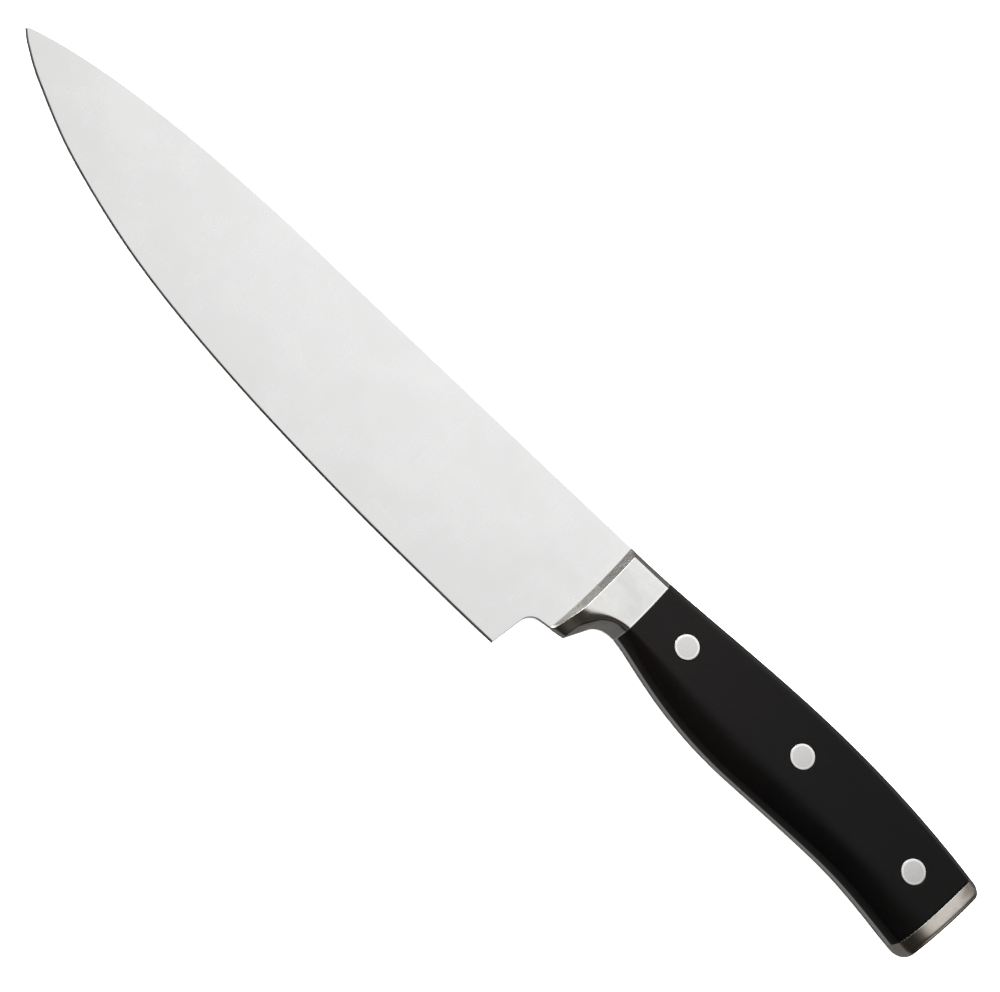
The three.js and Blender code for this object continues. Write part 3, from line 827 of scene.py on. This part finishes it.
class Nodes(Tree):
    """A material with one Principled shader."""

    def __init__(self, name):
        self.material = bpy.data.materials.new(name)
        self.material.use_nodes = True
        super().__init__(self.material.node_tree)
        self.shader = self.tree.nodes["Principled BSDF"]
        self.coordinates = self.add("ShaderNodeTexCoord").outputs

    def noise(self, stretch, detail=3.0, roughness=0.5, distortion=0.0, offset=(0, 0, 0)):
        """Noise with this many features per metre along each axis."""
        mapping = self.add("ShaderNodeMapping")
        mapping.inputs["Scale"].default_value = stretch
        mapping.inputs["Location"].default_value = offset
        self.link(self.coordinates["Object"], mapping.inputs["Vector"])
        noise = self.add("ShaderNodeTexNoise")
        noise.inputs["Scale"].default_value = 1.0
        noise.inputs["Detail"].default_value = detail
        noise.inputs["Roughness"].default_value = roughness
        noise.inputs["Distortion"].default_value = distortion
        self.link(mapping.outputs["Vector"], noise.inputs["Vector"])
        return noise.outputs["Fac"]

    def past_arc(self, apex_x):
        """How far each point lies past the bolster's arc moved to this apex, in metres."""
        apex = to_row((apex_x, BOLSTER_ARC_Y, 0))
        x, y, _ = self.place(self.coordinates["Object"])
        rise = self.math("SUBTRACT", y, apex[1])
        curve = 1 / (2 * BOLSTER_ARC_RADIUS * MM)
        return self.sum(x, self.math("MULTIPLY_ADD", self.product(rise, rise), curve, -apex[0]))

    def set(self, socket, value):
        self.shader.inputs[socket].default_value = value

    def roughness(self, *values):
        """Links the sum of the values to the shader's roughness."""
        self.link(self.sum(*values), self.shader.inputs["Roughness"])

    def colours(self, factor, first, second):
        """Links the shader's colour, which goes from the first to the second."""
        node = self.add("ShaderNodeMix", data_type="RGBA")
        node.inputs["A"].default_value = (*first, 1)
        node.inputs["B"].default_value = (*second, 1)
        self.link(factor, node.inputs["Factor"])
        self.link(node.outputs["Result"], self.shader.inputs["Base Color"])

    def tinted(self, factor, tint):
        """Multiplies the colour by the tint as far as the factor says."""
        node = self.add("ShaderNodeMix", data_type="RGBA", blend_type="MULTIPLY")
        colour = self.shader.inputs["Base Color"].links[0].from_socket
        self.link(colour, node.inputs["A"])
        node.inputs["B"].default_value = (*tint, 1)
        self.link(factor, node.inputs["Factor"])
        self.link(node.outputs["Result"], self.shader.inputs["Base Color"])

    def bump(self, height, strength, distance_mm):
        """Links the shader's normal to small heights."""
        node = self.add("ShaderNodeBump")
        node.inputs["Strength"].default_value = strength
        node.inputs["Distance"].default_value = distance_mm * MM
        self.link(height, node.inputs["Height"])
        self.link(node.outputs["Normal"], self.shader.inputs["Normal"])


def satin_steel():
    """The blade: fine grinding lines from edge to spine, a few deeper ones, faint clouding."""
    n = Nodes("satin_steel")
    n.set("Metallic", 1.0)
    lines = n.noise((2600, 110, 300), detail=4, roughness=0.6)
    deeper = n.noise((900, 60, 200), detail=2, distortion=0.3, offset=(3, 7, 1))
    clouds = n.noise((70, 90, 60), detail=4, roughness=0.6, distortion=0.6)
    n.colours(n.ranged(clouds, *NARROW, 0, 1), (0.78, 0.78, 0.78), (0.80, 0.80, 0.80))
    n.roughness(n.ranged(lines, *BROAD, 0.266, 0.28), n.ranged(clouds, *BROAD, -0.02, 0.03))
    ground = n.sum(n.ranged(lines, *BROAD, 0, 0.6), n.ranged(deeper, 0.66, 0.76, 0, -0.4))
    n.bump(ground, strength=0.02, distance_mm=0.002)
    return n.material


def polished_steel():
    """Bolster and tang: finely polished, with soft smudges and hairline wear, a painted highlight
    that brightens the colour along the rear edge and a painted warm reflection on the front face."""
    n = Nodes("polished_steel")
    n.set("Metallic", 1.0)
    smudges = n.noise((110, 170, 160), detail=2, roughness=0.45, distortion=0.9)
    hairlines = n.noise((420, 2600, 900), detail=3, roughness=0.6)
    # Painted highlight: the colour is brightened over the last half millimetre before the rear
    # edge.
    painted_rear_highlight = n.ranged(n.past_arc(BOLSTER_LENGTH - 0.5), 0, 0.1 * MM, 0, 2)
    n.colours(n.sum(n.ranged(smudges, 0.33, 0.67, 0, 0.45), painted_rear_highlight),
              (0.61, 0.61, 0.603), (0.93, 0.93, 0.928))
    # Painted warm reflection: the colour of the front face is tinted warmer by position.
    painted_warm_reflection = n.ranged(n.past_arc(CREST_WIDTH), -0.5 * MM, 0, 1, 0)
    n.tinted(painted_warm_reflection, (1.05, 1.01, 0.945))
    n.roughness(n.ranged(smudges, *BROAD, 0.15, 0.25), n.ranged(hairlines, *BROAD, 0, 0.05))
    worn = n.sum(n.ranged(hairlines, *BROAD, 0, 0.5), n.ranged(smudges, *BROAD, 0, 1))
    n.bump(worn, strength=0.18, distance_mm=0.003)
    return n.material


def cap_steel():
    """The butt cap: warm and mottled, with painted shade that darkens its colour towards the back,
    over the flank and towards the rear edge, and painted light that brightens it along the belly."""
    n = Nodes("cap_steel")
    n.set("Metallic", 1.0)
    bloom = n.noise((210, 150, 200), detail=3, roughness=0.5, distortion=0.8, offset=(2, 5, 3))
    lines = n.noise((500, 2400, 900), detail=3, roughness=0.6)
    x, y, _ = n.place(n.coordinates["Object"])
    rear_x = to_row((121.6, 0, 0))[0]
    # Painted shade by position: darker towards the back, the rear edge and over the flank; painted
    # light along the belly.
    painted_shade_back = n.ranged(y, row_y(-11), row_y(-5), 0, 1.1)
    painted_shade_rear = n.ranged(x, rear_x, rear_x + 2.2 * MM, 0, 1.1)
    painted_shade_flank = n.ranged(y, row_y(-25.5), row_y(-21.5), 1, 0)
    painted_light_belly = n.ranged(y, row_y(-28.6), row_y(-27.6), -1, 0)
    # Painted shade and light, plus random mottling, set how dark the colour is.
    painted_shade_and_mottle = n.sum(painted_shade_back, painted_shade_rear, painted_shade_flank, painted_light_belly,
                   n.ranged(bloom, *NARROW, -0.12, 0.25))
    n.colours(painted_shade_and_mottle, (0.75, 0.705, 0.65), (0.3, 0.27, 0.24))
    n.roughness(n.ranged(bloom, *BROAD, 0.17, 0.28), n.ranged(lines, *BROAD, 0, 0.05))
    worn = n.sum(n.ranged(lines, *BROAD, 0, 0.3), n.ranged(bloom, *BROAD, 0, 1))
    n.bump(worn, strength=0.2, distance_mm=0.004)
    return n.material


def rivet_steel():
    """Rivet heads: faint turning rings under a dull polish, and a painted highlight round the rim.
    """
    n = Nodes("rivet_steel")
    n.set("Metallic", 1.0)
    centred = n.add("ShaderNodeMapping")
    centred.inputs["Location"].default_value = (-0.5, -0.5, 0)
    centred.inputs["Scale"].default_value = (1, 1, 0)
    n.link(n.coordinates["Generated"], centred.inputs["Vector"])
    rings = n.add("ShaderNodeTexWave", wave_type="RINGS", rings_direction="Z")
    rings.inputs["Scale"].default_value = 9.0
    rings.inputs["Distortion"].default_value = 0.6
    rings.inputs["Detail"].default_value = 2.0
    n.link(centred.outputs["Vector"], rings.inputs["Vector"])
    clouds = n.noise((420, 480, 300), detail=4, roughness=0.6, distortion=0.8)
    from_axis = n.add("ShaderNodeVectorMath", operation="LENGTH")
    n.link(centred.outputs["Vector"], from_axis.inputs[0])
    # Painted highlight: the colour is brightened in a thin ring at the head's rim.
    painted_rim_highlight = n.ranged(from_axis.outputs["Value"], 0.4, 0.415, 0, 1)
    n.colours(n.sum(n.ranged(clouds, *NARROW, 0, 0.4), painted_rim_highlight),
              (0.705, 0.69, 0.678), (0.98, 0.975, 0.97))
    turning = rings.outputs["Fac"]
    n.roughness(n.ranged(clouds, *BROAD, 0.26, 0.38), n.ranged(turning, 0, 1, 0, 0.04))
    worn = n.sum(n.ranged(turning, 0, 1, 0, 0.4), clouds)
    n.bump(worn, strength=0.12, distance_mm=0.003)
    return n.material


def black_plastic():
    """The scales: dense black moulded plastic, buffed, with a fine grain and faint rub marks, and
    painted light that makes the colour a little greyer and warmer beside the bolster."""
    n = Nodes("black_plastic")
    n.set("IOR", 1.48)
    n.set("Specular IOR Level", 0.19)
    grain = n.noise((5200, 5200, 5200), detail=2)
    rubs = n.noise((130, 900, 500), detail=4, roughness=0.65, distortion=0.7)
    clouds = n.noise((55, 80, 60), detail=3, roughness=0.6, distortion=0.5, offset=(1, 4, 2))
    # Painted light: the colour is greyer and warmer near the bolster, fading by 75 mm.
    painted_light_near_bolster = n.ranged(n.past_arc(0), BOLSTER_LENGTH * MM, 75 * MM, 1, 0)
    n.colours(n.sum(painted_light_near_bolster, n.ranged(clouds, *NARROW, -0.1, 0.1)),
              (0.0005, 0.00047, 0.00047), (0.0015, 0.0011, 0.001))
    n.roughness(n.ranged(clouds, *BROAD, 0.3, 0.37), n.ranged(rubs, *BROAD, -0.03, 0.05))
    worn = n.sum(n.ranged(grain, *BROAD, 0, 1), n.ranged(rubs, *BROAD, 0, 0.6))
    n.bump(worn, strength=0.3, distance_mm=0.004)
    return n.material


def floor_material():
    """The floor: matt, near white, very faintly clouded."""
    n = Nodes("pale_floor")
    n.set("Roughness", 0.9)
    n.set("Specular IOR Level", 0.1)
    clouds = n.noise((3, 3, 3), detail=2)
    n.colours(n.ranged(clouds, *BROAD, 0, 1), (0.9, 0.9, 0.9), (0.93, 0.93, 0.93))
    return n.material


# ---------------------------------------------------------------- the knife


def finish_piece(obj, material, slot, *nodes):
    """Puts a piece that was made in millimetres into the row frame, with its material."""
    obj.data.transform(Matrix.Translation(DATUM) @ Matrix.Scale(MM, 4))
    obj.data.materials.clear()
    obj.data.materials.append(material)
    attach(obj, "root")
    if nodes:
        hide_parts(*nodes)


def make_knife():
    """Every visible piece, with its material and the CAD nodes that it stands for."""
    blade_steel, polished, plastic = satin_steel(), polished_steel(), black_plastic()
    cap, head = cap_steel(), rivet_steel()
    finish_piece(make_blade(), blade_steel, "forged_steel", "blade_forging")
    finish_piece(make_bolster(), polished, "forged_steel", "blade_forging")
    finish_piece(make_tang(), polished, "forged_steel", "blade_forging")
    finish_piece(make_scale("scale_up", 1), plastic, "handle_plastic", "scale_upper")
    finish_piece(make_scale("scale_down", -1), plastic, "handle_plastic", "scale_lower")
    finish_piece(make_cap(), cap, "cap_steel", "end_cap")
    for rivet in make_rivets():
        number = rivet.name[-1]
        kind = "rivet_barrel_" if "front" in rivet.name else "rivet_stem_"
        finish_piece(rivet, head, "rivet_steel", kind + number)


# ---------------------------------------------------------------- stage, light, camera


def make_floor():
    """A plain pale floor that the steel doesn't reflect: the world's lower half stands in."""
    mesh = bpy.data.meshes.new("floor")
    half, z = 4.0, cad_box[0].z
    mesh.from_pydata([(-half, -half, z), (half, -half, z), (half, half, z), (-half, half, z)],
                     [], [(0, 1, 2, 3)])
    floor = bpy.data.objects.new("floor", mesh)
    bpy.context.scene.collection.objects.link(floor)
    floor.data.materials.append(floor_material())
    floor.visible_glossy = False


SOFTBOX_LEVEL = (1.04, 1.24)        # its radiance rises away from the knife's edge
STRIP_LEVEL = 5.5                   # the low bright strips that draw the crisp edges
TABLE_LEVEL = 0.15                  # the pale table, as the belly sees it
HORIZON_LEVEL = 0.07
WALL_LEVELS = (0.008, 0.05)
WARM = (1.0, 0.9, 0.79)
COOL = (1.0, 1.0, 0.998)


def sky_radiance(sky, direction):
    """How bright the studio is in each direction, told by how far the direction leans from
    straight up towards x and towards y, in degrees. Returns the radiance and how cool it is."""
    x, y, z = direction

    def ramp(value, low, high, to_low, to_high):
        return sky.ranged(value, low, high, to_low, to_high, smooth=True)

    def leaning(component):
        return sky.math("MULTIPLY", sky.math("ARCTAN2", component, z), 180 / math.pi)

    lean_x, lean_y = leaning(x), leaning(y)
    softbox = sky.product(
        ramp(lean_y, -7, 11, 0, 1), ramp(lean_y, 44, 66, 1, 0),
        ramp(lean_x, -33, -20, 0, 1), sky.ranged(lean_x, 8, 31, 1, 0),
        sky.ranged(lean_y, 6, 24, *SOFTBOX_LEVEL))
    strip_sides = sky.sum(
        ramp(x, -0.8, -0.6, 1, 0), ramp(x, 0.6, 0.8, 0, 0.08), ramp(y, 0.6, 0.8, 0, 0.3))
    strips = sky.product(
        ramp(z, 0.06, 0.12, 0, 1), ramp(z, 0.45, 0.6, 1, 0), ramp(y, -0.25, -0.1, 0, 1),
        strip_sides, STRIP_LEVEL)
    table = ramp(z, -0.46, -0.3, TABLE_LEVEL, 0)
    walls = ramp(z, 0.0, 0.5, *WALL_LEVELS)
    horizon = sky.product(
        ramp(lean_y, -98, -90, 0, 1), ramp(lean_y, -74, -62, HORIZON_LEVEL, 0))
    radiance = sky.sum(softbox, strips, table, walls, horizon)
    cool = sky.sum(
        sky.product(ramp(radiance, 0.05, 0.7, 0, 1), ramp(lean_x, -40, -22, 0, 1)),
        ramp(radiance, 1.4, 2.5, 0, 1),
        ramp(z, -0.46, -0.3, 0.6, 0))
    return radiance, cool


def make_sky():
    """Soft studio surroundings: an overhead softbox, low strips, dim walls and a grey lower
    half. The camera itself sees plain white."""
    world = bpy.data.worlds.new("studio")
    bpy.context.scene.world = world
    world.use_nodes = True
    world.node_tree.nodes.clear()
    sky = Tree(world.node_tree)
    direction = sky.place(sky.add("ShaderNodeTexCoord").outputs["Generated"])
    radiance, cool = sky_radiance(sky, direction)
    tint = sky.add("ShaderNodeMix", data_type="RGBA")
    tint.inputs["A"].default_value = (*WARM, 1)
    tint.inputs["B"].default_value = (*COOL, 1)
    sky.link(cool, tint.inputs["Factor"])
    studio = sky.add("ShaderNodeBackground")
    sky.link(tint.outputs["Result"], studio.inputs["Color"])
    sky.link(radiance, studio.inputs["Strength"])
    backdrop = sky.add("ShaderNodeBackground")
    backdrop.inputs["Color"].default_value = (1, 1, 1, 1)
    blend = sky.add("ShaderNodeMixShader")
    sky.link(sky.add("ShaderNodeLightPath").outputs["Is Camera Ray"], blend.inputs["Fac"])
    sky.link(studio.outputs[0], blend.inputs[1])
    sky.link(backdrop.outputs[0], blend.inputs[2])
    sky.link(blend.outputs[0], sky.add("ShaderNodeOutputWorld").inputs["Surface"])


FILL_SIZE = 2.4
FILL_HEIGHT = 1.5
FILL_ENERGY = 150


def make_fill():
    """A wide, soft light that whitens the floor and leaves no reflection on the steel."""
    light = bpy.data.lights.new("fill", "AREA")
    light.shape = "SQUARE"
    light.size = FILL_SIZE
    light.energy = FILL_ENERGY
    fill = bpy.data.objects.new("fill", light)
    fill.location = (0, 0, FILL_HEIGHT)
    fill.visible_glossy = False
    bpy.context.scene.collection.objects.link(fill)


def make_camera():
    """The camera looks at the middle of the knife from 16 degrees off its flat side, turned so
    that the knife lies across the picture from corner to corner."""
    tilt, roll, distance = math.radians(16), math.radians(43.5), 0.547
    middle = (-33.6, -13.7, 0)
    target = Vector(to_row(middle))
    back = Vector((0, -math.sin(tilt), math.cos(tilt)))
    away = Vector((0, math.cos(tilt), math.sin(tilt)))
    right = Vector((math.cos(roll), 0, 0)) + away * math.sin(roll)
    up = Vector((-math.sin(roll), 0, 0)) + away * math.cos(roll)
    data = bpy.data.cameras.new("camera")
    data.sensor_width = 36
    data.lens = 77.4
    camera = bpy.data.objects.new("camera", data)
    camera.matrix_world = Matrix.LocRotScale(
        target + back * distance, Matrix((right, up, back)).transposed().to_quaternion(), None)
    bpy.context.scene.collection.objects.link(camera)
    bpy.context.scene.camera = camera


bpy.context.scene.view_settings.view_transform = "Standard"
make_camera()
make_knife()
make_floor()
make_sky()
make_fill()
